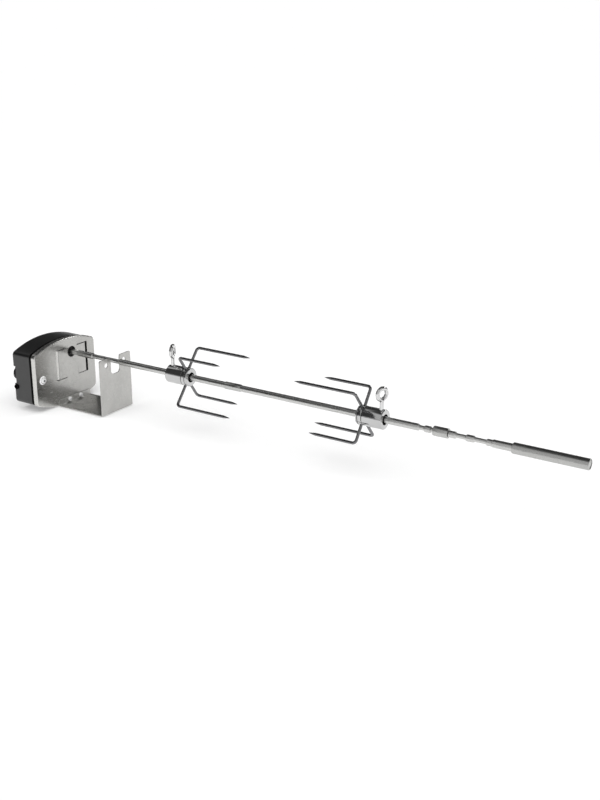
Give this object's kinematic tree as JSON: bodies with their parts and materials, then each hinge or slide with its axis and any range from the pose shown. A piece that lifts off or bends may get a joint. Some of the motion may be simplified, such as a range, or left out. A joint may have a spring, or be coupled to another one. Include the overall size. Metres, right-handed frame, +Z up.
{
  "type": "barbecue rotisserie kit",
  "caption": "Cantilever barbecue rotisserie: gear motor on a bent steel bracket, joined spit, sliding tined forks locked by eye bolts, turning bush and tube handle.",
  "frame": {"origin": "where the spit's axis meets the front of the motor's face plate", "axes": "+X along the spit towards its handle, +Y across the motor away from the switch, +Z up"},
  "size_m": [0.927, 0.1366, 0.132],
  "materials": {
    "black_case": "fine matte texture, arched top darker than the walls",
    "black_rubber": "matte",
    "satin_steel": "satin stainless, vertical grain",
    "bright_steel": "bright nickel plate",
    "dark_steel": "black oxide",
    "black_gloss": "semi-gloss black",
    "white_plastic": "natural nylon",
    "frame_steel": "zinc-plated sheet",
    "copper_coil": "enamelled winding",
    "magnet": "plastic-bonded ferrite",
    "gear_brass": "cut brass",
    "gear_plastic": "natural acetal",
    "bracket_steel": "satin stainless sheet",
    "spit_steel": "polished nickel-plated rod",
    "bush_steel": "turned steel",
    "handle_steel": "brushed tube, grain along its length",
    "hub_chrome": "chrome plate",
    "tine_chrome": "chrome-plated wire",
    "bolt_chrome": "satin chrome on a forged eye"
  },
  "bodies": {
    "motor_unit": {"motor_housing": "black_case", "housing_seal": "black_rubber", "face_plate": "satin_steel", "plate_screw": "bright_steel", "case_screws": "dark_steel", "switch_bezel": "black_gloss", "cable_gland": "black_rubber", "terminal_block": "white_plastic", "gear_plate_front": "frame_steel", "gear_plate_rear": "frame_steel", "frame_posts": "frame_steel", "idler_pins": "frame_steel", "motor_can": "frame_steel", "motor_screws": "bright_steel", "motor_coil": "copper_coil", "socket_bush": "black_gloss", "support_bracket": "bracket_steel", "bracket_screws": "bright_steel"},
    "drive": {"output_gear": "gear_brass", "drive_socket": "black_gloss"},
    "slow_idler": {"slow_idler_gear": "gear_plastic"},
    "fast_idler": {"fast_idler_gear": "gear_plastic"},
    "rotor": {"rotor_magnet": "magnet", "rotor_pinion": "gear_brass"},
    "rocker": {"switch_rocker": "black_gloss"},
    "spit": {"spit_drive_rod": "spit_steel", "spit_coupling": "spit_steel", "spit_far_rod": "spit_steel", "handle_tube": "handle_steel", "handle_cap": "handle_steel"},
    "bush": {"spit_bush": "bush_steel"},
    "fork_a": {"fork_a_hub": "hub_chrome", "fork_a_long_tines": "tine_chrome", "fork_a_short_tines": "tine_chrome"},
    "fork_a_bolt": {"fork_a_eye_bolt": "bolt_chrome"},
    "fork_b": {"fork_b_hub": "hub_chrome", "fork_b_long_tines": "tine_chrome", "fork_b_short_tines": "tine_chrome"},
    "fork_b_bolt": {"fork_b_eye_bolt": "bolt_chrome"}
  },
  "joints": [
    {"name": "drive_spin", "type": "hinge", "parent": "motor_unit", "child": "drive", "pos_m": [-0.01, 0, 0], "axis": [1, 0, 0], "continuous": true},
    {"name": "slow_idler_spin", "type": "hinge", "parent": "motor_unit", "child": "slow_idler", "pos_m": [-0.012, -0.00417, -0.02363], "axis": [1, 0, 0], "continuous": true},
    {"name": "fast_idler_spin", "type": "hinge", "parent": "motor_unit", "child": "fast_idler", "pos_m": [-0.019, 0.01838, -0.03184], "axis": [1, 0, 0], "continuous": true},
    {"name": "rotor_spin", "type": "hinge", "parent": "motor_unit", "child": "rotor", "pos_m": [-0.03, -0.00417, -0.04005], "axis": [1, 0, 0], "continuous": true},
    {"name": "switch_rock", "type": "hinge", "parent": "motor_unit", "child": "rocker", "pos_m": [-0.0483, -0.068, -0.0262], "axis": [0, 1, 0], "range_deg": [-16, 0]},
    {"name": "spit_pull", "type": "slide", "parent": "drive", "child": "spit", "axis": [1, 0, 0], "range_m": [0, 0.1]},
    {"name": "bush_spin", "type": "hinge", "parent": "spit", "child": "bush", "pos_m": [0.666, 0, 0], "axis": [1, 0, 0], "continuous": true},
    {"name": "fork_a_slide", "type": "slide", "parent": "spit", "child": "fork_a", "axis": [1, 0, 0], "range_m": [-0.1, 0.09]},
    {"name": "fork_a_bolt_turn", "type": "hinge", "parent": "fork_a", "child": "fork_a_bolt", "pos_m": [0.2117, 0, 0.036], "axis": [0, 0, 1], "range_deg": [0, 360]},
    {"name": "fork_b_slide", "type": "slide", "parent": "spit", "child": "fork_b", "axis": [1, 0, 0], "range_m": [-0.1, 0.05]},
    {"name": "fork_b_bolt_turn", "type": "hinge", "parent": "fork_b", "child": "fork_b_bolt", "pos_m": [0.5753, 0, 0.036], "axis": [0, 0, 1], "range_deg": [0, 360]}
  ],
  "couplings": [
    {"joint": "slow_idler_spin", "follows": "drive_spin", "ratio": -3},
    {"joint": "fast_idler_spin", "follows": "drive_spin", "ratio": 12},
    {"joint": "rotor_spin", "follows": "drive_spin", "ratio": -48}
  ]
}
